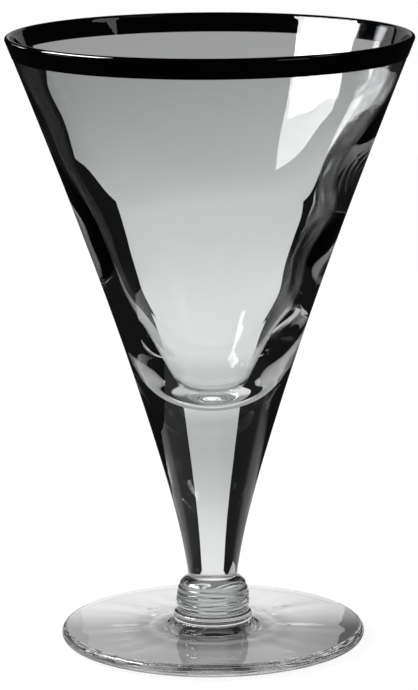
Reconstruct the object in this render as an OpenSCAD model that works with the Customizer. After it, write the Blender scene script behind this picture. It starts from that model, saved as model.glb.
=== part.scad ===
// Water goblet in clear blown glass: a flared bowl, a drawn solid stem, a ringed knop and a flat foot,
// with a band of dark bright metal fired onto the lip. The pieces are fused end to end on one axis.
// The origin is the centre of the resting plane, +Z up, millimetres.

/* [Whole glass] */
// Height from the table to the top of the lip
goblet_h = 159.6; // [149:0.2:173]
// Diameter across the lip
rim_d = 105; // [98:0.5:112]
// Diameter of the foot
foot_d = 80; // [70:0.5:92]

/* [Bowl] */
// Glass thickness at the lip
lip_t = 1.3; // [1:0.1:2.4]
// Slope of the outside at the lip, in degrees from the axis
flare_angle = 21.4; // [19:0.1:24]
// Depth of the hollow below the lip
hollow_depth = 95.2; // [88:0.2:102]
// Slope of the hollow's side at the lip, in degrees from the axis
hollow_flare = 24; // [21:0.1:26]
// Slope of the hollow's side where it meets its rounded bottom, in degrees from the axis
hollow_base_angle = 31.7; // [28:0.1:35]
// Radius of the hollow's rounded bottom
hollow_bottom_r = 14.3; // [11:0.1:16]
// Thickness of the glass under the hollow
base_t = 11.8; // [8:0.2:14]

/* [Stem] */
// Diameter where the stem takes over from the bowl
stem_top_d = 31.4; // [28:0.1:34]
// Slope of the side where the stem takes over, in degrees from the axis
stem_top_angle = 16.5; // [14:0.1:19]
// Diameter of the stem's lower end
stem_end_d = 12.8; // [10:0.1:14]
// Slope of the side at the lower end, in degrees from the axis
stem_end_angle = 7; // [3:0.1:12]
// Radius of the rounded seat that the bowl presses into the stem
seat_r = 46; // [30:1:90]

/* [Knop] */
// Height of the knop
knop_h = 9.3; // [8:0.1:12]
// Largest diameter of the knop
knop_d = 19.7; // [18.4:0.1:22]
// Width of the knop's shoulder, around the stem
shoulder_w = 0.1; // [0:0.05:1]
// Diameter of the drawn-in waist between the knop and the foot
waist_d = 18.6; // [15:0.1:18.8]
// Height of the widest place above the waist
belly_h = 2.5; // [1.2:0.1:3]
// Fullness of the knop's dome; 2 is half of an ellipse
dome_fullness = 2.6; // [2:0.1:3.4]
// Number of rings pressed into the knop
ring_count = 6; // [3:1:8]
// Height that the rings take up, from the waist
ring_zone_h = 7; // [5.5:0.1:7.4]
// Depth of the grooves between the rings
ring_depth = 0.25; // [0.1:0.05:0.6]

/* [Foot] */
// Thickness at the edge of the foot
foot_edge_t = 3.2; // [2.4:0.1:4]
// Thickness of the disc where it starts to sweep up to the collar
foot_root_t = 3.6; // [3.2:0.1:4.4]
// Diameter of the raised collar that carries the knop
collar_d = 20.6; // [19:0.1:24]
// Height of the collar above the table
collar_h = 7.2; // [7:0.1:9]
// Width of the hollow sweep from the disc up to the collar
sweep_w = 7; // [2:0.2:9]
// Height of that sweep
sweep_h = 1.6; // [0.6:0.1:2]
// Width of the flat ring that the goblet stands on
rest_w = 9; // [4:0.5:14]
// Rise of the shallow hollow under the foot
kick_h = 0.7; // [0.3:0.1:1.2]

/* [Rim band] */
// Width of the band down the outside, measured along the slope
band_w = 4.6; // [3:0.1:7]
// Thickness of the fired metal film
film_t = 0.1; // [0.06:0.01:0.3]

/* [Hidden] */
$fn = 96;
side_steps = 22;
hollow_steps = 24;
band_steps = 3;
arc_steps = 10;
ring_steps = 6;

glass_tint = [0.86, 0.89, 0.9, 0.45];
band_tint = [0.16, 0.16, 0.17];

// Lip: a round edge that runs tangent into the outside and into the hollow
lip_r = lip_t / 2;
lip_c = [rim_d / 2 - lip_r, goblet_h - lip_r];
lip_from = -flare_angle;
lip_to = 180 - hollow_flare;
lip_out = on_lip(lip_from, lip_r);
lip_in = on_lip(lip_to, lip_r);

// Hollow: a rounded bottom and a side that flares from it
hollow_z = goblet_h - hollow_depth;
hollow_c = hollow_z + hollow_bottom_r;
hollow_foot = [hollow_bottom_r * cos(hollow_base_angle), hollow_c - hollow_bottom_r * sin(hollow_base_angle)];

// Heights of the fused joints
knop_z = collar_h;
stem_z = collar_h + knop_h;
stem_top_r = stem_top_d / 2;
stem_end_r = stem_end_d / 2;
seat_low = hollow_z - base_t;
seat_c = seat_low + seat_r;
seat_half = asin(stem_top_r / seat_r);
stem_top_z = seat_c - seat_r * cos(seat_half);

// Band: its lower edge on the outside
band_z = lip_out[1] - band_w * cos(flare_angle);

// Knop: a rounded dome from the belly to the shoulder
knop_r = knop_d / 2;
shoulder_r = stem_end_r + shoulder_w;
waist_r = waist_d / 2;
belly_z = knop_z + belly_h;
dome_h = (knop_h - belly_h) / pow(1 - pow(shoulder_r / knop_r, dome_fullness), 1 / dome_fullness);
ring_pitch = ring_zone_h / ring_count;

// Foot
foot_r = foot_d / 2;
edge_r = foot_edge_t / 2;
collar_r = collar_d / 2;
collar_top_r = (collar_h - foot_root_t - sweep_h) / 2;
rest_in_r = foot_r - edge_r - rest_w;

// Curve through two radii with the slope of the side given at both ends; u runs from 0 to 1
function flared(u, span, r0, r1, a0, a1) =
    r0 * (2 * pow(u, 3) - 3 * pow(u, 2) + 1)
    + span * tan(a0) * (pow(u, 3) - 2 * pow(u, 2) + u)
    + r1 * (3 * pow(u, 2) - 2 * pow(u, 3))
    + span * tan(a1) * (pow(u, 3) - pow(u, 2));

// Radius of the outside of the bowl at height z
function bowl_r(z) =
    let (span = lip_out[1] - stem_top_z)
    flared((z - stem_top_z) / span, span, stem_top_r, lip_out[0], stem_top_angle, flare_angle);

// Radius of the hollow at height z
function hollow_r(z) =
    let (span = lip_in[1] - hollow_foot[1])
    flared((z - hollow_foot[1]) / span, span, hollow_foot[0], lip_in[0], hollow_base_angle, hollow_flare);

// Radius of the stem at height z
function stem_r(z) =
    let (span = stem_top_z - stem_z)
    flared((z - stem_z) / span, span, stem_end_r, stem_top_r, stem_end_angle, stem_top_angle);

// Point on a circle round the lip's centre
function on_lip(a, r) = [lip_c[0] + r * cos(a), lip_c[1] + r * sin(a)];

// Points on an arc from angle a0 to a1
function arc(c, r, a0, a1, n) = [for (i = [0 : n]) let (a = a0 + (a1 - a0) * i / n) c + r * [cos(a), sin(a)]];

// Slope of the bowl's outside at height z
function bowl_slope(z) = atan((bowl_r(z + 0.01) - bowl_r(z - 0.01)) / 0.02);

// Point on the bowl's outside at height z, moved out by t square to the surface
function bowl_skin(z, t) = let (a = bowl_slope(z)) [bowl_r(z) + t * cos(a), z - t * sin(a)];

// Radius of the knop without its rings
function knop_env(z) =
    z < belly_z
    ? waist_r + (knop_r - waist_r) * sin(90 * (z - knop_z) / belly_h)
    : knop_r * pow(1 - pow(max(z - belly_z, 0) / dome_h, dome_fullness), 1 / dome_fullness);

// Radius of the ringed knop: each ring is a small round swelling between two grooves
function ring_r(z) =
    let (s = 2 * ((z - knop_z) / ring_pitch - floor((z - knop_z) / ring_pitch + 0.0001)) - 1)
    knop_env(z) - ring_depth * pow(s, 2);

// Seat between the bowl and the stem, from the axis out to the side
seat_pts = arc([0, seat_c], seat_r, -90, -90 + seat_half, arc_steps);

// Outside of the bowl from the seat to the band, and under the band to the lip
outside_pts = [for (i = [1 : side_steps]) let (z = stem_top_z + (band_z - stem_top_z) * i / side_steps) [bowl_r(z), z]];
under_band_pts = [for (i = [1 : band_steps]) let (z = band_z + (lip_out[1] - band_z) * i / band_steps) [bowl_r(z), z]];
lip_pts = arc(lip_c, lip_r, lip_from, lip_to, arc_steps);

module bowl() {
    hollow_pts = [
        for (i = [1 : hollow_steps])
        let (z = lip_in[1] + (hollow_foot[1] - lip_in[1]) * i / hollow_steps)
        [hollow_r(z), z]
    ];
    bottom_pts = arc([0, hollow_c], hollow_bottom_r, -hollow_base_angle, -90, arc_steps);
    color(glass_tint)
    rotate_extrude()
    polygon(concat(
        seat_pts, outside_pts, under_band_pts,
        [for (i = [1 : arc_steps]) lip_pts[i]],
        hollow_pts,
        [for (i = [1 : arc_steps]) bottom_pts[i]]
    ));
}

module stem() {
    side_pts = [
        for (i = [0 : side_steps - 1])
        let (z = stem_z + (stem_top_z - stem_z) * i / side_steps)
        [stem_r(z), z]
    ];
    color(glass_tint)
    rotate_extrude()
    polygon(concat(
        [[0, stem_z]],
        side_pts,
        [for (i = [arc_steps : -1 : 0]) seat_pts[i]]
    ));
}

module knop() {
    ring_pts = [
        for (k = [0 : ring_count - 1], i = [0 : ring_steps - 1])
        let (z = knop_z + ring_pitch * (k + i / ring_steps))
        [ring_r(z), z]
    ];
    dome_z = knop_z + ring_zone_h;
    dome_pts = [
        for (i = [0 : arc_steps])
        let (z = dome_z + (stem_z - dome_z) * i / arc_steps)
        [knop_env(z) - (i == 0 ? ring_depth : 0), z]
    ];
    color(glass_tint)
    rotate_extrude()
    polygon(concat([[0, knop_z]], ring_pts, dome_pts, [[0, stem_z]]));
}

module foot() {
    edge_pts = arc([foot_r - edge_r, edge_r], edge_r, -90, 90, arc_steps);
    kick_pts = [
        for (i = [0 : arc_steps])
        let (u = i / arc_steps)
        [rest_in_r * u, kick_h * (1 + cos(180 * u)) / 2]
    ];
    sweep_pts = [
        for (i = [0 : arc_steps])
        let (a = 90 * i / arc_steps)
        [collar_r + sweep_w * (1 - sin(a)), foot_root_t + sweep_h * (1 - cos(a))]
    ];
    collar_pts = arc([collar_r - collar_top_r, collar_h - collar_top_r], collar_top_r, 0, 90, arc_steps);
    color(glass_tint)
    rotate_extrude()
    polygon(concat(
        kick_pts,
        edge_pts, sweep_pts, collar_pts,
        [[0, collar_h]]
    ));
}

module rim_band() {
    skin_pts = [
        for (i = [0 : band_steps - 1])
        bowl_skin(band_z + (lip_out[1] - band_z) * i / band_steps, film_t)
    ];
    color(band_tint)
    rotate_extrude()
    polygon(concat(
        skin_pts,
        [for (i = [0 : arc_steps]) on_lip(lip_from + (lip_to - lip_from) * i / arc_steps, lip_r + film_t)],
        [for (i = [arc_steps : -1 : 0]) lip_pts[i]],
        [for (i = [band_steps - 1 : -1 : 1]) under_band_pts[i - 1]],
        [outside_pts[side_steps - 1]]
    ));
}

bowl();
stem();
knop();
foot();
rim_band();
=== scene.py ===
# %% [markdown]
# # A water goblet in clear glass with a dark metal lip
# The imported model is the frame: its boxes say where each piece of the goblet starts and ends, and every
# new piece is modelled around the same axis, in metres. The goblet has no moving parts, so all pieces
# ride on the one body, root.

import math

import bpy
import numpy as np
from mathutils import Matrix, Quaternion, Vector


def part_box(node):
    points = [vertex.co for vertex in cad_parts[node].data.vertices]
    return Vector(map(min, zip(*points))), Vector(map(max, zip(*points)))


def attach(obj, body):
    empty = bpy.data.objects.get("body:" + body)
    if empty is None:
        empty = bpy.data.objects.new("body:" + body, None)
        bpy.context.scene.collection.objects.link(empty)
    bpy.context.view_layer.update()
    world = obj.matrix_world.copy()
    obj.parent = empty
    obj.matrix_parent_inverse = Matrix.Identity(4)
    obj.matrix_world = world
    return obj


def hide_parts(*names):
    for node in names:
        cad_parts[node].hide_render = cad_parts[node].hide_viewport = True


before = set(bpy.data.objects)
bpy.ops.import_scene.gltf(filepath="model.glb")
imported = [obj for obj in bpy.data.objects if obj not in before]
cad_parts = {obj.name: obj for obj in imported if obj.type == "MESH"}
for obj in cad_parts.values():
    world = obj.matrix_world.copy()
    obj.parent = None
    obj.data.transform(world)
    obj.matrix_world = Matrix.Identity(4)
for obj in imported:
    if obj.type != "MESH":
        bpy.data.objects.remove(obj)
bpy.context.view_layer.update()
scene = bpy.context.scene
scene.view_settings.view_transform = "Standard"
MM = 0.001
print("nodes", sorted(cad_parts))

# %% [markdown]
# ## Sizes
# The heights and radii come from the boxes of the solid pieces, so the looks can't drift away from the
# model. What a box can't say, such as how the wall thickens towards the base, is named later, in the cell
# of the piece that needs it.

# %% Sizes from the frame
def reach(node):
    """Lowest z, highest z and outer radius of one solid piece, in metres."""
    low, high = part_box(node)
    return low.z, high.z, max(high.x, -low.x, high.y, -low.y)


SEAT_LOW, LIP_TOP, RIM_R = reach("bowl")
STEM_Z, STEM_TOP_Z, STEM_TOP_R = reach("stem")
KNOP_Z, KNOP_TOP, KNOP_R = reach("knop")
_, COLLAR_Z, FOOT_R = reach("foot")
BAND_Z = reach("rim_band")[0]
print("lip at", round(LIP_TOP, 4), "rim radius", round(RIM_R, 4), "foot radius", round(FOOT_R, 4))

# %% [markdown]
# ## Curves
# The side of the glass is one flowing line from the lip to the knop. A cubic through two radii, with the
# slope given at both ends, draws each stretch, and stretches that share a slope meet without a kink.
# A straight stretch gets a close pair of points at each end: in smooth shading they keep the flat part
# flat, which matters in glass, because every bent normal shows as a bent highlight.

# %% Profile curves
QUARTER = math.pi / 2


def flared(z, z0, z1, r0, r1, a0, a1):
    """Radius at height z on a curve from (r0, z0) to (r1, z1) with slopes a0 and a1 from the axis."""
    span = z1 - z0
    u = (z - z0) / span
    return (r0 * (2 * u**3 - 3 * u**2 + 1) + span * math.tan(a0) * (u**3 - 2 * u**2 + u)
            + r1 * (3 * u**2 - 2 * u**3) + span * math.tan(a1) * (u**3 - u**2))


def climb(start, end, n):
    """n + 1 even values from start to end."""
    return [start + (end - start) * i / n for i in range(n + 1)]


def arc(cr, cz, r, a0, a1, n):
    """n + 1 points on an arc round (cr, cz), from angle a0 to a1."""
    return [(cr + r * math.cos(a), cz + r * math.sin(a)) for a in climb(a0, a1, n)]


def straight(p0, p1, n=16, tight=0.004):
    """Points along a straight stretch, with a close pair at each end."""
    shares = [0, tight] + climb(tight, 1 - tight, n)[1:-1] + [1 - tight, 1]
    return [(p0[0] + (p1[0] - p0[0]) * t, p0[1] + (p1[1] - p0[1]) * t) for t in shares]


print("a straight stretch has", len(straight((0, 0), (1, 0))), "points")

# %% [markdown]
# ## Turning a piece
# Blown glass is turned on its axis while it is hot, so each piece is a profile spun round Z. A plane is
# added and merged to one point, the point is extruded along the profile, and Spin takes it round. A
# Screw modifier on a curve would do the same, but Spin leaves plain faces that can be closed at the axis
# by merging doubles, and closed pieces are what glass needs: light must find a way in and a way out.

# %% The turning helper
SPIN_STEPS = 192
MERGE_WITHIN = 0.001 * MM
SMOOTH_UNDER = math.radians(28)


def turned(name, profile):
    """A closed piece spun round Z from (radius, height) points that start and end on the axis or meet."""
    bpy.ops.object.select_all(action="DESELECT")
    bpy.ops.mesh.primitive_plane_add(size=MM, location=(0, 0, 0))
    piece = bpy.context.object
    piece.name = piece.data.name = name
    bpy.ops.object.mode_set(mode="EDIT")
    bpy.ops.mesh.select_all(action="SELECT")
    bpy.ops.mesh.merge(type="CENTER")
    bpy.ops.transform.translate(value=(profile[0][0], 0, profile[0][1]))
    for (r0, z0), (r1, z1) in zip(profile, profile[1:]):
        bpy.ops.mesh.extrude_region_move(TRANSFORM_OT_translate={"value": (r1 - r0, 0, z1 - z0)})
    bpy.ops.mesh.select_all(action="SELECT")
    bpy.ops.mesh.spin(steps=SPIN_STEPS, angle=2 * math.pi, center=(0, 0, 0), axis=(0, 0, 1))
    bpy.ops.mesh.select_all(action="SELECT")
    bpy.ops.mesh.remove_doubles(threshold=MERGE_WITHIN)
    bpy.ops.mesh.normals_make_consistent(inside=False)
    bpy.ops.object.mode_set(mode="OBJECT")
    bpy.ops.object.shade_smooth_by_angle(angle=SMOOTH_UNDER)
    print(name, "faces", len(piece.data.polygons))
    return piece


print("a turn has", SPIN_STEPS, "steps")

# %% [markdown]
# ## Bowl
# The bowl is a flared cone with a thin lip and a base so thick that it works as a lens. On the real glass
# the outside was shaped against a wet block and the hollow by breath, so the hollow opens faster than the
# outside and ends in a round bottom. The profile runs from the seat on the stem up the outside, over the
# round lip and down the hollow to its bottom, in five stretches.

# %% Bowl
LIP_R = 0.65 * MM
FLARE = math.radians(21.4)
STEM_TOP_SLOPE = math.radians(16.5)
SEAT_R = 46 * MM
HOLLOW_FLARE = math.radians(24)
HOLLOW_BASE = math.radians(31.7)
HOLLOW_BOTTOM_R = 14.3 * MM
HOLLOW_DEPTH = 95.2 * MM
# Steps along each stretch
SEAT_N, SIDE_N, LIP_N, HOLLOW_N, BOTTOM_N = 10, 70, 12, 80, 16

lip_c = (RIM_R - LIP_R, LIP_TOP - LIP_R)
lip_out = (lip_c[0] + LIP_R * math.cos(FLARE), lip_c[1] - LIP_R * math.sin(FLARE))
lip_in = (lip_c[0] - LIP_R * math.cos(HOLLOW_FLARE), lip_c[1] + LIP_R * math.sin(HOLLOW_FLARE))
hollow_c = LIP_TOP - HOLLOW_DEPTH + HOLLOW_BOTTOM_R
hollow_foot = (
    HOLLOW_BOTTOM_R * math.cos(HOLLOW_BASE),
    hollow_c - HOLLOW_BOTTOM_R * math.sin(HOLLOW_BASE),
)
seat_c = SEAT_LOW + SEAT_R


def bowl_side(z):
    return flared(z, STEM_TOP_Z, lip_out[1], STEM_TOP_R, lip_out[0], STEM_TOP_SLOPE, FLARE)


def hollow_side(z):
    return flared(z, hollow_foot[1], lip_in[1], hollow_foot[0], lip_in[0], HOLLOW_BASE, HOLLOW_FLARE)


seat = arc(0, seat_c, SEAT_R, -QUARTER, -QUARTER + math.asin(STEM_TOP_R / SEAT_R), SEAT_N)
bowl = turned("goblet_bowl", (
    seat
    + [(bowl_side(z), z) for z in climb(STEM_TOP_Z, lip_out[1], SIDE_N)][1:]
    + arc(*lip_c, LIP_R, -FLARE, math.pi - HOLLOW_FLARE, LIP_N)[1:]
    + [(hollow_side(z), z) for z in climb(lip_in[1], hollow_foot[1], HOLLOW_N)][1:]
    + arc(0, hollow_c, HOLLOW_BOTTOM_R, -HOLLOW_BASE, -QUARTER, BOTTOM_N)[1:]
))

# %% [markdown]
# ## Swells in the hollow
# Hand-blown glass is never even: where the hot bubble hung a little longer the wall is thicker, and the
# dark edge of the bowl swings in and out because of it. Proportional editing would drag such swells by
# hand, but it needs a window, so each swell is a soft bump in a formula: its place round the axis, its
# height, how far it leans inwards, and its half width and half height.

# %% Swells
# Degrees round the axis from +X, height mm, inward mm, half width in degrees, half height mm
SWELLS = [
    (183, 148, -0.3, 28, 8), (183, 115, 0.9, 28, 8), (183, 104, 0.8, 28, 8), (183, 82, 0.5, 28, 8),
    (352, 147, -0.8, 28, 8), (352, 126, 1.5, 28, 8), (352, 104, 1.0, 28, 8), (352, 82, 1.0, 28, 8),
    (60, 121, 0.4, 20, 9), (120, 99, 0.4, 24, 9), (235, 126, 0.3, 22, 9), (300, 98, 0.3, 26, 9),
]
BELOW_LIP = 0.2 * MM
ON_AXIS = 1e-9


def points_of(piece):
    """The piece's points as rows of x, y, z, with their radius and their angle round the axis."""
    co = np.zeros(len(piece.data.vertices) * 3)
    piece.data.vertices.foreach_get("co", co)
    co = co.reshape(-1, 3)
    return co, np.hypot(co[:, 0], co[:, 1]), np.arctan2(co[:, 1], co[:, 0])


def put_back(piece, co):
    piece.data.vertices.foreach_set("co", co.ravel())
    piece.data.update()


co, rad, ang = points_of(bowl)
in_hollow = np.array([
    hollow_foot[1] < z < lip_in[1] - BELOW_LIP and r < (hollow_side(z) + bowl_side(z)) / 2
    for r, z in zip(rad, co[:, 2])
])
push = np.zeros(len(co))
for around, height, depth, width, tall in SWELLS:
    turn = (np.degrees(ang) - around + 180) % 360 - 180
    push += depth * MM * np.exp(-((turn / width) ** 2) - ((co[:, 2] / MM - height) / tall) ** 2)
co[:, :2] *= (1 - in_hollow * push / np.maximum(rad, ON_AXIS))[:, None]
put_back(bowl, co)
print("swells reach in by", round(float(push[in_hollow].max() / MM), 2), "mm")

# %% [markdown]
# ## Stem
# The stem is drawn from the hot base of the bowl, so its side carries on at the bowl's slope and thins to
# the knop. It is solid. Its top is the same shallow seat as the bowl's underside, and both faces are later
# made invisible, because the real glass is fused there.

# %% Stem
STEM_END_SLOPE = math.radians(7)
STEM_END_R = 6.4 * MM
STEM_N = 40


def stem_side(z):
    return flared(z, STEM_Z, STEM_TOP_Z, STEM_END_R, STEM_TOP_R, STEM_END_SLOPE, STEM_TOP_SLOPE)


stem = turned("goblet_stem", (
    [(0, STEM_Z)]
    + [(stem_side(z), z) for z in climb(STEM_Z, STEM_TOP_Z, STEM_N)]
    + seat[::-1][1:]
))

# %% [markdown]
# ## Knop
# A knop is a ring of glass added between stem and foot and pressed with a tool while it turns, which
# leaves shallow grooves. The outline is a short swell at the waist and a full dome above it. The grooves
# are soft dips at their own heights and depths: an array of equal rings would look cut on a lathe.

# %% Knop
WAIST_R = 9.3 * MM
BELLY_H = 2.5 * MM
DOME_FULLNESS = 2.6
SHOULDER_R = STEM_END_R + 0.1 * MM
GROOVE_W = 0.48
GROOVES = [(0.9, 0.42), (2.1, 0.30), (3.3, 0.42), (4.4, 0.28), (5.5, 0.38), (6.7, 0.24)]  # height, depth mm
KNOP_N = 90
belly_z = KNOP_Z + BELLY_H
dome_h = (KNOP_TOP - belly_z) / (1 - (SHOULDER_R / KNOP_R) ** DOME_FULLNESS) ** (1 / DOME_FULLNESS)


def knop_side(z):
    if z < belly_z:
        r = WAIST_R + (KNOP_R - WAIST_R) * math.sin(QUARTER * (z - KNOP_Z) / BELLY_H)
    else:
        r = KNOP_R * (1 - ((z - belly_z) / dome_h) ** DOME_FULLNESS) ** (1 / DOME_FULLNESS)
    up = (z - KNOP_Z) / MM
    return r - sum(depth * MM * math.exp(-((up - at) / GROOVE_W) ** 2) for at, depth in GROOVES)


knop = turned("goblet_knop", (
    [(0, KNOP_Z)] + [(knop_side(z), z) for z in climb(KNOP_Z, KNOP_TOP, KNOP_N)] + [(0, KNOP_TOP)]
))

# %% [markdown]
# ## The grooves wander
# The tool was held by hand, so the grooves rise and fall a little on their way round. Two waves of
# different count, shifted with height, move the points by up to a quarter of a millimetre, and fade out at
# both joints.

# %% Wandering grooves
WOBBLE = 0.16 * MM
WANDER = [(2, 9, 0, 1.0), (5, -14, 1, 0.7)]  # count, shift from bottom to top, start, share
co, rad, ang = points_of(knop)
up = np.clip((co[:, 2] - KNOP_Z) / (KNOP_TOP - KNOP_Z), 0, 1)
wave = sum(part * np.sin(count * ang + shift * up + start) for count, shift, start, part in WANDER)
off_axis = rad > 0.5 * STEM_END_R
co[:, 2] += WOBBLE * np.sin(math.pi * up) * wave * off_axis
put_back(knop, co)
print("grooves wander by", round(float(np.abs(wave).max() * WOBBLE / MM), 2), "mm")

# %% [markdown]
# ## Foot
# The foot is a separate gather of glass, pressed flat with a wooden paddle. It has a round edge, a nearly
# level top that sweeps up to the collar under the knop, and an underside that is hollowed a little, so
# that the goblet stands on a ring and doesn't rock. Everything is again one profile.

# %% Foot
FOOT_EDGE_R = 1.6 * MM
FOOT_ROOT_T = 3.6 * MM
COLLAR_R = 10.3 * MM
SWEEP_W = 7 * MM
SWEEP_H = 1.6 * MM
REST_W = 9 * MM
KICK_H = 0.7 * MM
KICK_N, EDGE_N, TOP_N, SWEEP_N, COLLAR_N = 30, 18, 24, 24, 10
collar_top_r = (COLLAR_Z - FOOT_ROOT_T - SWEEP_H) / 2
rest_in = FOOT_R - FOOT_EDGE_R - REST_W
kick = [(rest_in * u, KICK_H * (1 + math.cos(math.pi * u)) / 2) for u in climb(0, 1, KICK_N)]
edge = arc(FOOT_R - FOOT_EDGE_R, FOOT_EDGE_R, FOOT_EDGE_R, -QUARTER, QUARTER, EDGE_N)
sweep = [(COLLAR_R + SWEEP_W * (1 - math.sin(a)), FOOT_ROOT_T + SWEEP_H * (1 - math.cos(a)))
         for a in climb(0, QUARTER, SWEEP_N)]
collar = arc(COLLAR_R - collar_top_r, COLLAR_Z - collar_top_r, collar_top_r, 0, QUARTER, COLLAR_N)
foot = turned("goblet_foot", (
    kick + straight(kick[-1], edge[0])[1:] + edge[1:] + straight(edge[-1], sweep[0], TOP_N)[1:]
    + sweep[1:] + collar + [(0, COLLAR_Z)]
))

# %% [markdown]
# ## Ripples in the foot
# The paddle leaves soft ripples that run from the collar to the edge like the folds of a fan, and the foot
# settles in a few slightly oval rings round the collar. The ripples are about a tenth of a millimetre high
# and the rings half that, but light that skims the foot makes them visible. Waves of uneven count,
# strongest halfway out, are added to the top.

# %% Foot ripples
RIPPLES = [(9, 0.045, 0.4), (16, 0.04, 1.9), (25, 0.025, 3.1)]  # count, height mm, start
SETTLED_R, SETTLED_W, SETTLED_STEP = 17.5 * MM, 3.5 * MM, 4.5 * MM
SETTLED_TALL = 0.045 * MM
SETTLED_OVAL = 0.06
FULL_AFTER = 1 / 8  # share of the way out at which the rings have their whole height
TOP_ABOVE = 1.2 * FOOT_EDGE_R
co, rad, ang = points_of(foot)
out_share = np.clip((rad - COLLAR_R) / (FOOT_R - FOOT_EDGE_R - COLLAR_R), 0, 1)
lift = sum(tall * MM * np.sin(count * ang + start) for count, tall, start in RIPPLES)
from_ring = rad - SETTLED_R * (1 + SETTLED_OVAL * np.sin(2 * ang + 1))
settled = np.cos(2 * math.pi * from_ring / SETTLED_STEP) * np.exp(-(from_ring / SETTLED_W) ** 2)
settled *= SETTLED_TALL * np.minimum(out_share / FULL_AFTER, 1)
co[:, 2] += (lift * np.sin(math.pi * out_share) + settled) * (co[:, 2] > TOP_ABOVE)
put_back(foot, co)
print("ripples", round(float(np.abs(lift).max() / MM), 3), "mm")

# %% [markdown]
# ## Rim band
# The dark band is a film of metal painted on the lip as a liquid and fired. It lies on the outside and over
# the top of the lip. A film has almost no thickness, so the piece is a thin shell along the same curve as
# the glass: its outer face a tenth of a millimetre out, its inner face just inside the glass.

# %% Rim band
FILM = 0.1 * MM
SUNK = 0.04 * MM
BAND_N = 8
NEARBY = 0.01 * MM


def band_line(offset):
    """The band's line up the outside and over the lip, moved out square to the glass."""
    line = []
    for z in climb(BAND_Z + SUNK, lip_out[1], BAND_N):
        slope = math.atan((bowl_side(z + NEARBY) - bowl_side(z - NEARBY)) / (2 * NEARBY))
        line.append((bowl_side(z) + offset * math.cos(slope), z - offset * math.sin(slope)))
    return line + arc(*lip_c, LIP_R + offset, -FLARE, math.pi - HOLLOW_FLARE, LIP_N)[1:]


outer_line = band_line(FILM)
rim_band = turned("goblet_rim_band", outer_line + band_line(-SUNK)[::-1] + outer_line[:1])

# %% [markdown]
# ## Colours and nodes
# Colours are written as the hex values that a screen shows, and one function turns them into the linear
# values that shaders work with. Another adds a node: each input is a value or another node's output.

# %% Colours and nodes
WHITE = (1, 1, 1, 1)


def linear(hex_code):
    """An sRGB hex colour as linear red, green, blue and alpha."""
    parts = [int(hex_code[i:i + 2], 16) / 255 for i in (1, 3, 5)]
    return tuple(c / 12.92 if c <= 0.04045 else ((c + 0.055) / 1.055) ** 2.4 for c in parts) + (1.0,)


def add(tree, kind, inputs=None, **settings):
    """Adds a node with its settings; an input is a value or another node's output."""
    made = tree.nodes.new(kind)
    for name, value in settings.items():
        setattr(made, name, value)
    for name, value in (inputs or {}).items():
        socket = made.inputs[name]
        if isinstance(value, bpy.types.NodeSocket):
            tree.links.new(value, socket)
        else:
            socket.default_value = value
    return made


def set_stops(ramp, stops):
    """Gives a colour ramp its stops: (place from 0 to 1, linear colour)."""
    while len(ramp.color_ramp.elements) < len(stops):
        ramp.color_ramp.elements.new(0.5)
    for stop, (place, colour) in zip(ramp.color_ramp.elements, stops):
        stop.position, stop.color = place, colour


def new_material(name):
    mat = bpy.data.materials.new(name)
    mat.use_nodes = True
    mat.node_tree.nodes.clear()
    return mat, mat.node_tree


print("#808080 is", round(linear("#808080")[0], 3), "in linear light")

# %% [markdown]
# ## Glass
# Clear soda-lime glass, blown and fire-polished: perfectly smooth, with an IOR of 1.52. What makes it look
# like blown glass is a faint waviness of the skin, a 14 mm noise only hundredths of a millimetre high. The
# colour follows the height: palest in the bowl and the foot, greyest in the knop and where the solid base
# meets the stem. Deep glass is a little greyer than thin glass, but most of this grey is painted shade,
# darker than clear glass of that depth would be. Volume absorption would give the real greying too.

# %% Glass
GLASS_IOR = 1.52
SKIN_WAVE, SKIN_TALL = 14 * MM, 0.05 * MM
# Height mm, colour: a little real tint of deep glass and painted shade in the thick parts
GLASS_TINT_AND_SHADE = [
    (6.5, "#F6F7F7"), (8, "#CDCFCF"), (15.5, "#CDCFCF"), (17, "#F4F5F5"), (31, "#E9EAEA"),
    (43, "#D6D8D8"), (53, "#CBCDCD"), (61, "#CFD1D1"), (67, "#F8F9F9"),
]
TINT_TOP = 100
glass, tree = new_material("blown_clear_glass")
place = add(tree, "ShaderNodeTexCoord").outputs["Object"]
height = add(tree, "ShaderNodeSeparateXYZ", {"Vector": place}).outputs["Z"]
share = add(tree, "ShaderNodeMapRange", {"Value": height, "From Min": 0.0, "From Max": TINT_TOP * MM})
# The glass colour by height: a little real tint, mostly painted shade in the knop and the base
tint_and_shade = add(tree, "ShaderNodeValToRGB", {"Fac": share.outputs["Result"]})
set_stops(tint_and_shade, [(z / TINT_TOP, linear(grey)) for z, grey in GLASS_TINT_AND_SHADE])
skin = add(tree, "ShaderNodeTexNoise", {"Vector": place, "Scale": 1 / SKIN_WAVE, "Detail": 1.0})
bump = add(tree, "ShaderNodeBump", {"Height": skin.outputs["Fac"], "Distance": SKIN_TALL, "Strength": 1.0})
body = add(tree, "ShaderNodeBsdfPrincipled", {
    "Base Color": tint_and_shade.outputs["Color"], "Transmission Weight": 1.0, "IOR": GLASS_IOR, "Roughness": 0.0,
    "Normal": bump.outputs["Normal"],
})
add(tree, "ShaderNodeOutputMaterial", {"Surface": body.outputs["BSDF"]})
for piece in (bowl, stem, knop, foot):
    piece.data.materials.append(glass)
print(glass.name, "on 4 pieces")

# %% [markdown]
# ## Long light paths
# In a thick plate of glass a ray is mirrored ten or twenty times before it finds a way out. A path that is
# cut short ends in black: with the usual four mirrored bounces the edge of the foot is a black ring. So
# the counts of bounces are raised, which costs little, because most paths end sooner.

# %% Long light paths
MIRRORED, THROUGH = 24, 32
scene.cycles.max_bounces = scene.cycles.transmission_bounces = THROUGH
scene.cycles.glossy_bounces = MIRRORED
print("bounces", MIRRORED, "mirrored of", THROUGH)

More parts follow.
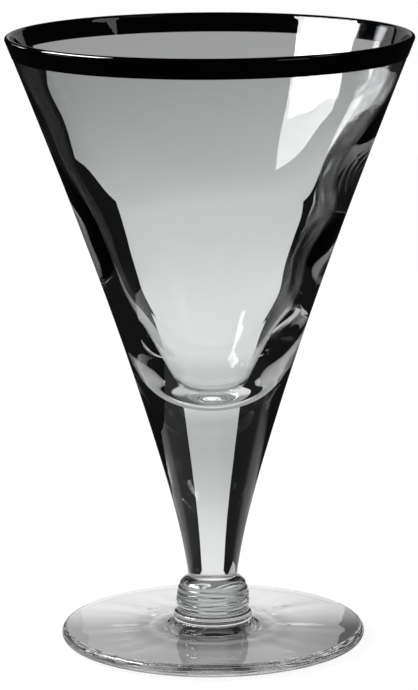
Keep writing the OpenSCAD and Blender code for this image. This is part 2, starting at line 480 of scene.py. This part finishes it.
# %% [markdown]
# ## Fused joints
# Where two gathers of hot glass meet they become one glass, and no face is left to bend the light. The
# pieces are still separate closed meshes, so the faces that touch get a material that lets light straight
# through. The light then passes from stem to bowl as if they were one body.

# %% Fused joints
ON_LEVEL = 0.002 * MM
ON_CURVE = 0.05 * MM
FACING = 0.9
joint, tree = new_material("fused_glass_joint")
clear = add(tree, "ShaderNodeBsdfTransparent", {"Color": WHITE})
add(tree, "ShaderNodeOutputMaterial", {"Surface": clear.outputs["BSDF"]})


def mark_joint(piece, at_joint):
    """Gives the fused faces, picked by their radius, height and upward lean, the joint material."""
    piece.data.materials.append(joint)
    fused = 0
    for face in piece.data.polygons:
        if at_joint(math.hypot(face.center.x, face.center.y), face.center.z, face.normal.z):
            face.material_index = 1
            fused += 1
    print(piece.name, "fused faces", fused)


def on_seat(r, z, nz):
    return r < STEM_TOP_R and abs(math.hypot(r, z - seat_c) - SEAT_R) < ON_CURVE


def level_at(height, up):
    """A test for flat faces at one height that look up (1) or down (-1), no wider than the knop's waist."""
    return lambda r, z, nz: abs(z - height) < ON_LEVEL and nz * up > FACING and r < WAIST_R


mark_joint(bowl, on_seat)
mark_joint(stem, lambda r, z, nz: on_seat(r, z, nz) or level_at(STEM_Z, -1)(r, z, nz))
mark_joint(knop, lambda r, z, nz: level_at(KNOP_Z, -1)(r, z, nz) or level_at(KNOP_TOP, 1)(r, z, nz))
mark_joint(foot, level_at(COLLAR_Z, 1))

# %% [markdown]
# ## Metal film
# The band is bright platinum, fired on thin: a mirror, but a dark one, with faint clouds where the brush
# left more or less metal. Metallic is 1 and the colour is the metal's own reflection. The roughness
# wanders with a noise of 6 mm, about the width of the brush.

# %% Metal film
BRUSH_W = 6 * MM
SMOOTHEST, ROUGHEST = 0.03, 0.09
film, tree = new_material("fired_platinum_film")
place = add(tree, "ShaderNodeTexCoord").outputs["Object"]
brush = add(tree, "ShaderNodeTexNoise", {"Vector": place, "Scale": 1 / BRUSH_W, "Detail": 3.0})
rough = add(tree, "ShaderNodeMapRange", {
    "Value": brush.outputs["Fac"], "To Min": SMOOTHEST, "To Max": ROUGHEST,
})
metal = add(tree, "ShaderNodeBsdfPrincipled", {
    "Base Color": linear("#5A5A5C"), "Metallic": 1.0, "Roughness": rough.outputs["Result"],
})
add(tree, "ShaderNodeOutputMaterial", {"Surface": metal.outputs["BSDF"]})
rim_band.data.materials.append(film)
print(film.name, "on the rim band")

# %% [markdown]
# ## Riding on the body
# Each piece stands for the solid of the same name, which is hidden, and rides on root, the only body:
# lift the goblet and every piece goes with it.

# %% Riding
for piece, stands_for, finish in (
    (bowl, "bowl", "glass"), (stem, "stem", "glass"), (knop, "knop", "glass"), (foot, "foot", "glass"),
    (rim_band, "rim_band", "band_metal"),
):
    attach(piece, "root")
    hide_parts(stands_for)
print("5 pieces ride on root")

# %% [markdown]
# ## Floor
# The floor is one sheet of white paper. Most of what the camera sees of it is a plain white, and a share
# is real matte paper, which keeps the goblet's soft shadow. Rays that reach it through glass or from metal
# see the same white.

# %% Floor
FLOOR_Z = -0.6 * MM
FLOOR_R = 6
SHADOW_SHARE = 0.12
bpy.ops.object.select_all(action="DESELECT")
bpy.ops.mesh.primitive_circle_add(vertices=64, radius=FLOOR_R, fill_type="NGON", location=(0, 0, FLOOR_Z))
floor = bpy.context.object
floor.name = "floor"
sheet, tree = new_material("floor_paper")
path = add(tree, "ShaderNodeLightPath")
white = add(tree, "ShaderNodeEmission", {"Color": WHITE, "Strength": 1.0})
matte = add(tree, "ShaderNodeBsdfDiffuse", {"Color": linear("#F2F2F2")})
seen = add(tree, "ShaderNodeMixShader", {
    0: SHADOW_SHARE, 1: white.outputs["Emission"], 2: matte.outputs["BSDF"],
})
rays = path.outputs["Is Camera Ray"]
for kind in ("Is Glossy Ray", "Is Transmission Ray"):
    rays = add(tree, "ShaderNodeMath", {0: rays, 1: path.outputs[kind]}, operation="MAXIMUM").outputs["Value"]
shade = add(tree, "ShaderNodeMixShader", {0: rays, 1: matte.outputs["BSDF"], 2: seen.outputs["Shader"]})
add(tree, "ShaderNodeOutputMaterial", {"Surface": shade.outputs["Shader"]})
floor.data.materials.append(sheet)
print("floor", FLOOR_R, "m round")

# %% [markdown]
# ## Black tent
# Clear glass shows only what stands around it. To draw its edges dark, a studio surrounds it with black
# velvet and leaves light only where the glass should look bright. The tent is a closed drum round the
# goblet that only rays from glass and metal can see; the camera and the shadows don't.

# %% Black tent
TENT_R, TENT_H = 0.65, 0.8
TENT_FLOOR = -0.3 * MM
VELVET = 0.007


def only_in_glass(stage_piece):
    """Hides a piece of the stage from the camera and the shadows: it shows only in and through the glass."""
    stage_piece.visible_camera = stage_piece.visible_diffuse = stage_piece.visible_shadow = False


bpy.ops.object.select_all(action="DESELECT")
bpy.ops.mesh.primitive_cylinder_add(
    vertices=128, radius=TENT_R, depth=TENT_H, location=(0, 0, TENT_H / 2 + TENT_FLOOR),
)
tent = bpy.context.object
tent.name = "black_tent"
velvet, tree = new_material("black_velvet")
pile = add(tree, "ShaderNodeEmission", {"Color": WHITE, "Strength": VELVET})
add(tree, "ShaderNodeOutputMaterial", {"Surface": pile.outputs["Emission"]})
tent.data.materials.append(velvet)
only_in_glass(tent)
print("tent", TENT_R, "m")

# %% [markdown]
# ## Cutting a card
# White cards inside the tent are what the glass looks at. A card is a grid whose points are moved to the
# edges that it should have, row by row from its near edge to its far one, so one helper cuts a plain
# rectangle and a stepped outline alike. An edge is given as a photographer would say it: the direction
# from the goblet, how far away, how high and how wide.

# %% Cutting a card
def card(name, rows, material):
    """A card through rows of (left point, right point), from its near edge to its far one."""
    bpy.ops.object.select_all(action="DESELECT")
    bpy.ops.mesh.primitive_grid_add(x_subdivisions=1, y_subdivisions=len(rows) - 1, size=1)
    made = bpy.context.object
    made.name = made.data.name = name
    for vertex, corner in zip(made.data.vertices, [corner for row in rows for corner in row]):
        vertex.co = corner
    made.data.materials.append(material)
    only_in_glass(made)
    return made


def card_edge(degrees, distance, height, half):
    """Left and right point of an edge: direction from +Y round to +X, distance, height, half width."""
    a = math.radians(degrees)
    out, side = Vector((math.sin(a), math.cos(a), 0)), Vector((math.cos(a), -math.sin(a), 0))
    middle = out * distance + Vector((0, 0, height))
    return middle - side * half, middle + side * half


print("an edge 1 m behind:", [tuple(point) for point in card_edge(0, 1, 0, 0.5)])

# %% [markdown]
# ## Paper that chooses its rays
# In a studio each card would be moved until it shows in one place only. Here the light path helps: by
# counting how often a ray was mirrored or went through glass, a card shows itself to one kind of ray and
# is velvet, or dimmer paper, for the rest. That keeps the dark edges dark.

# %% Card paper
HALF = 0.5  # the counts are whole, so a half lies safely between two of them
# Which rays a card shows itself to: a count of the light path, and what that count has to be
RAYS = {
    "all": ("Ray Depth", "GREATER_THAN", HALF),
    "straight": ("Glossy Depth", "LESS_THAN", HALF),
    "mirrored once": ("Glossy Depth", "COMPARE", 1.0),
    "off the skin": ("Transmission Depth", "LESS_THAN", HALF),
}


def card_paper(level, rays, rest):
    """White paper at one level of light for one kind of ray, and at another for the rest."""
    paper, tree = new_material("card_paper")
    count, test, value = RAYS[rays]
    path = add(tree, "ShaderNodeLightPath")
    shown = add(tree, "ShaderNodeMath", {0: path.outputs[count], 1: value, 2: HALF}, operation=test)
    light = add(tree, "ShaderNodeMath", {
        0: shown.outputs["Value"], 1: level - rest, 2: rest,
    }, operation="MULTIPLY_ADD")
    glow = add(tree, "ShaderNodeEmission", {"Color": WHITE, "Strength": light.outputs["Value"]})
    add(tree, "ShaderNodeOutputMaterial", {"Surface": glow.outputs["Emission"]})
    return paper


print("kinds of ray:", ", ".join(RAYS))

# %% [markdown]
# ## Light cards
# One card lies on the table behind the goblet; others lie and stand opposite the other viewing sides, so
# that the goblet is bright in the middle from there too. A small bright window on the left and a fill high
# on the right give the glints.

# %% Light cards
ON_TABLE = -0.2 * MM
UNDER_CARDS = 1.2 * ON_TABLE
WALL = TENT_R - 10 * MM
# Name, direction, near edge and far edge as (distance, height, half width), level of light for some rays,
# which rays, level for the rest
CARDS = [
    ("table_behind", 0, (0.056, ON_TABLE, 0.054), (0.1605, ON_TABLE, 0.054), 0.9, "straight", 0.5),
    ("wing_left", -7, (0.6, 0.10, 0.035), (0.6, 0.26, 0.035), 0.5, "off the skin", VELVET),
    ("table_left", -45, (0.1, ON_TABLE, 0.05), (0.46, ON_TABLE, 0.05), 0.5, "straight", VELVET),
    ("wall_left", -45, (WALL, 0.24, 0.11), (WALL, 0.40, 0.11), 0.7, "off the skin", VELVET),
    ("table_right", 135, (0.1, ON_TABLE, 0.06), (WALL, ON_TABLE, 0.07), 0.6, "straight", VELVET),
    ("wall_right_low", 135, (WALL, ON_TABLE, 0.07), (WALL, 0.05, 0.07), 0.6, "straight", VELVET),
    ("wall_right", 135, (WALL, 0.05, 0.10), (WALL, 0.24, 0.10), 0.6, "all", VELVET),
    ("table_front", 180, (0.1, ON_TABLE, 0.05), (WALL, ON_TABLE, 0.08), 0.45, "straight", VELVET),
    ("table_side", -90, (0.1, UNDER_CARDS, 0.062), (WALL, UNDER_CARDS, 0.127), 0.7, "straight", VELVET),
    ("wall_side_low", -90, (WALL, ON_TABLE, 0.13), (WALL, 0.10, 0.13), 0.7, "all", VELVET),
    ("wall_side", -90, (WALL, 0.10, 0.13), (WALL, 0.30, 0.13), 0.7, "straight", VELVET),
    ("window_left", -52, (0.6, 0.25, 0.045), (0.6, 0.31, 0.045), 7.0, "mirrored once", VELVET),
    ("fill_right", 103, (0.6, 0.58, 0.10), (0.6, 0.72, 0.10), 1.5, "all", VELVET),
]
for name, degrees, near, far, level, rays, rest in CARDS:
    card(name, [card_edge(degrees, *near), card_edge(degrees, *far)], card_paper(level, rays, rest))
print(len(CARDS), "cards")

# %% [markdown]
# ## Light on the back card
# The card right behind the goblet draws the picture in the bowl. Its light falls off upwards, a little
# faster on one side, as on a card lit from below. Rays mirrored inside the glass see it dimmer, high up
# most of all, or pale patches would break up the dark bands.

# %% Light on the back card
# Height mm, level
BACK_LEVELS = [
    (0, 0.95), (26, 0.93), (52, 0.83), (73, 0.765), (85, 0.74), (99, 0.56), (113, 0.49), (126, 0.41),
    (140, 0.38),
]
BACK_TOP = 140
UP_LEFT = (-0.15, 0, 1)  # the way in which the light falls off
DIMMER_INSIDE = (16, 24, 0.6, 0.25)  # from and to in mm, share of the light at both ends
SOFTLY = {"interpolation_type": "SMOOTHSTEP"}


def from_to(value, start, end, at_start, at_end):
    """Inputs that lead from one level to another while a value goes from start to end, in mm."""
    return {
        "Value": value, "From Min": start * MM, "From Max": end * MM, "To Min": at_start, "To Max": at_end,
    }


back_paper, tree = new_material("back_card_paper")
place = add(tree, "ShaderNodeNewGeometry").outputs["Position"]
tilted = add(tree, "ShaderNodeVectorMath", {0: place, 1: UP_LEFT}, operation="DOT_PRODUCT").outputs["Value"]
share = add(tree, "ShaderNodeMapRange", {"Value": tilted, "From Min": 0.0, "From Max": BACK_TOP * MM})
ramp = add(tree, "ShaderNodeValToRGB", {"Fac": share.outputs["Result"]})
set_stops(ramp, [(z / BACK_TOP, (level, level, level, 1)) for z, level in BACK_LEVELS])
height = add(tree, "ShaderNodeSeparateXYZ", {"Vector": place}).outputs["Z"]
shown = add(tree, "ShaderNodeMapRange", from_to(height, *DIMMER_INSIDE), **SOFTLY).outputs["Result"]
path = add(tree, "ShaderNodeLightPath")
mirrored_inside = add(tree, "ShaderNodeMath", {
    0: path.outputs["Glossy Depth"], 1: path.outputs["Transmission Depth"],
}, operation="MINIMUM").outputs["Value"]
strength = add(tree, "ShaderNodeMapRange", {"Value": mirrored_inside, "To Min": 1.0, "To Max": shown})
glow = add(tree, "ShaderNodeEmission", {
    "Color": ramp.outputs["Color"], "Strength": strength.outputs["Result"],
})
add(tree, "ShaderNodeOutputMaterial", {"Surface": glow.outputs["Emission"]})
print("back card from", BACK_LEVELS[0][1], "at the table to", BACK_LEVELS[-1][1])

# %% [markdown]
# ## Back card
# Seen through the glass, the edges of this card become the dark bands at both sides, so it is cut narrow
# low down, behind the stem, and wide behind the bowl. A second card would leave a seam in the picture, so
# it is one card with a step.

# %% Back card
BACK_Y = 0.16
# Height, left edge and right edge in mm
BACK_CUT = [
    (-0.2, -49, 49), (8, -48.5, 48.5), (35, -43.5, 43.5), (58, -41.5, 41.5), (84, -39, 39),
    (90, -57, 54), (221, -57, 54),
]
card("back_card", [
    (Vector((left * MM, BACK_Y, z * MM)), Vector((right * MM, BACK_Y, z * MM))) for z, left, right in BACK_CUT
], back_paper)
print("back card", BACK_CUT[-1][0], "mm tall")

# %% [markdown]
# ## Light on the table
# The table round the goblet is lit as well. The foot is a flat plate and shows this light nearly as it lies
# there: bright towards the back, greyer in front and on the right. A small core right under the knop is
# brighter, and the knop gathers it into its grooves. Further out the table fades into the velvet.

# %% Light on the table
# Each change of level: from and to in mm, then the levels at both ends
GREYER_RIGHT = (12, 34, 0.38, 0.13)
GREYER_RIGHT_OUTSIDE = (5, 35, 0.3, 0.08)
CORE = (5, 8, 0.7, 0.0)
# These only say where: the levels are those of other changes
FRONT_TO_BACK, BACK_GAIN = (-4, 20), 0.6
PAST_FOOT, TO_VELVET = (44, 52), (100, 125)
lit, tree = new_material("lit_table_paper")
place = add(tree, "ShaderNodeNewGeometry").outputs["Position"]
axes = add(tree, "ShaderNodeSeparateXYZ", {"Vector": place})
x, y = axes.outputs["X"], axes.outputs["Y"]
radius = add(tree, "ShaderNodeVectorMath", {0: place}, operation="LENGTH").outputs["Value"]

front = add(tree, "ShaderNodeMapRange", from_to(x, *GREYER_RIGHT), **SOFTLY).outputs["Result"]
back = add(tree, "ShaderNodeMath", {0: front, 1: BACK_GAIN}, operation="ADD").outputs["Value"]
under = add(tree, "ShaderNodeMapRange", from_to(y, *FRONT_TO_BACK, front, back), **SOFTLY).outputs["Result"]
outside = add(tree, "ShaderNodeMapRange", from_to(x, *GREYER_RIGHT_OUTSIDE), **SOFTLY).outputs["Result"]
widest = add(tree, "ShaderNodeMath", {0: under, 1: outside}, operation="MAXIMUM").outputs["Value"]
around = add(tree, "ShaderNodeMapRange", from_to(radius, *PAST_FOOT, under, widest), **SOFTLY).outputs["Result"]
faded = add(tree, "ShaderNodeMapRange", from_to(radius, *TO_VELVET, around, VELVET), **SOFTLY).outputs["Result"]
core = add(tree, "ShaderNodeMapRange", from_to(radius, *CORE), **SOFTLY).outputs["Result"]
open_level = add(tree, "ShaderNodeMath", {0: faded, 1: core}, operation="ADD").outputs["Value"]
print("lit table to", TO_VELVET[1], "mm")

# %% [markdown]
# ## Shade round the collar
# The collar bends the light that falls through it, so rings of shade lie round it on the table, as under
# any thick glass. They take a share of the light of the last cell. The lit table itself is a round sheet
# just under the cards.

# %% Shade round the collar
# Radius mm, share of the light kept
SHADE_RINGS = [
    (0, 1.0), (8.5, 1.0), (10, 0.3), (14, 0.4), (16.5, 0.95), (18.5, 0.6), (20, 0.65), (24, 1.0),
]
RINGS_OUT = 30
LIT_R = 126
LOWEST = 1.3 * ON_TABLE
share = add(tree, "ShaderNodeMapRange", {"Value": radius, "From Min": 0.0, "From Max": RINGS_OUT * MM})
rings = add(tree, "ShaderNodeValToRGB", {"Fac": share.outputs["Result"]})
set_stops(rings, [(r / RINGS_OUT, (kept, kept, kept, 1)) for r, kept in SHADE_RINGS])
level = add(tree, "ShaderNodeMath", {0: open_level, 1: rings.outputs["Color"]}, operation="MULTIPLY")
glow = add(tree, "ShaderNodeEmission", {"Color": WHITE, "Strength": level.outputs["Value"]})
add(tree, "ShaderNodeOutputMaterial", {"Surface": glow.outputs["Emission"]})
bpy.ops.object.select_all(action="DESELECT")
bpy.ops.mesh.primitive_circle_add(
    vertices=96, radius=LIT_R * MM, fill_type="NGON", location=(0, 0, LOWEST),
)
lit_table = bpy.context.object
lit_table.name = "lit_table"
lit_table.data.materials.append(lit)
only_in_glass(lit_table)
print("shade to", SHADE_RINGS[-1][0], "mm from the axis")

# %% [markdown]
# ## World
# An even white world lights the paper from all sides, so the picture's background is white without any
# strong lamp.

# %% World
world = bpy.data.worlds.new("studio")
scene.world = world
world.use_nodes = True
world.node_tree.nodes.clear()
sky = add(world.node_tree, "ShaderNodeBackground", {"Color": WHITE, "Strength": 1.0})
add(world.node_tree, "ShaderNodeOutputWorld", {"Surface": sky.outputs["Background"]})
print("world", world.name)

# %% [markdown]
# ## Softbox
# The one lamp is a small softbox to the left, above the lip: its mirror image is the bright window on the
# inside of the bowl. It is tilted a little, so that the window ends in a point. Rays that were mirrored
# more than four times don't see it: they would end as a stray white chip on the side of the stem.

# %% Softbox
SOFTBOX_W, SOFTBOX_H, SOFTBOX_WATTS = 0.325, 0.176, 3.2
SOFTBOX_AT = Vector((-0.385, -0.005, 0.405))
SOFTBOX_AIM = Vector((0.028, 0.033, 0.138))
SOFTBOX_TILT = math.radians(-11)
MOST_MIRRORED = 4
softbox = bpy.data.lights.new("softbox", "AREA")
softbox.shape = "RECTANGLE"
softbox.size, softbox.size_y, softbox.energy = SOFTBOX_W, SOFTBOX_H, SOFTBOX_WATTS
softbox.use_nodes = True
tree = softbox.node_tree
tree.nodes.clear()
path = add(tree, "ShaderNodeLightPath")
few = add(tree, "ShaderNodeMath", {
    0: path.outputs["Glossy Depth"], 1: MOST_MIRRORED + HALF,
}, operation="LESS_THAN")
glow = add(tree, "ShaderNodeEmission", {"Color": WHITE, "Strength": few.outputs["Value"]})
add(tree, "ShaderNodeOutputLight", {"Surface": glow.outputs["Emission"]})
lamp = bpy.data.objects.new("softbox", softbox)
scene.collection.objects.link(lamp)
lamp.location = SOFTBOX_AT
lamp.rotation_mode = "QUATERNION"
towards = SOFTBOX_AIM - SOFTBOX_AT
lamp.rotation_quaternion = Quaternion(towards, SOFTBOX_TILT) @ towards.to_track_quat("-Z", "Y")
lamp.visible_camera = False
print("softbox", round(SOFTBOX_AT.length, 3), "m away")

# %% [markdown]
# ## Camera
# The camera looks down at about 12 degrees from a little under a metre, with a long lens, so the sides of
# the goblet hardly converge. The picture is 418 by 690 pixels. The photographer's camera leaned a
# third of a degree, and so does this one.

# %% Camera
PICTURE_H = 690
FOCAL_PX = 3482
SENSOR_MM = 36
CLIP = 0.05, 50
SIDE = -0.64 * MM
CAMERA_AT = Vector((SIDE, -0.8895, 0.2617))
CAMERA_AIM = Vector((SIDE, 0, 0.0784))
LEAN = math.radians(0.33)
cam_data = bpy.data.cameras.new("camera")
cam_data.sensor_width = SENSOR_MM
cam_data.lens = FOCAL_PX / PICTURE_H * SENSOR_MM
cam_data.clip_start, cam_data.clip_end = CLIP
cam = bpy.data.objects.new("camera", cam_data)
scene.collection.objects.link(cam)
cam.location = CAMERA_AT
towards = CAMERA_AIM - CAMERA_AT
cam.rotation_mode = "QUATERNION"
cam.rotation_quaternion = Quaternion(towards, LEAN) @ towards.to_track_quat("-Z", "Y")
scene.camera = cam
print("camera", round(towards.length, 3), "m away")
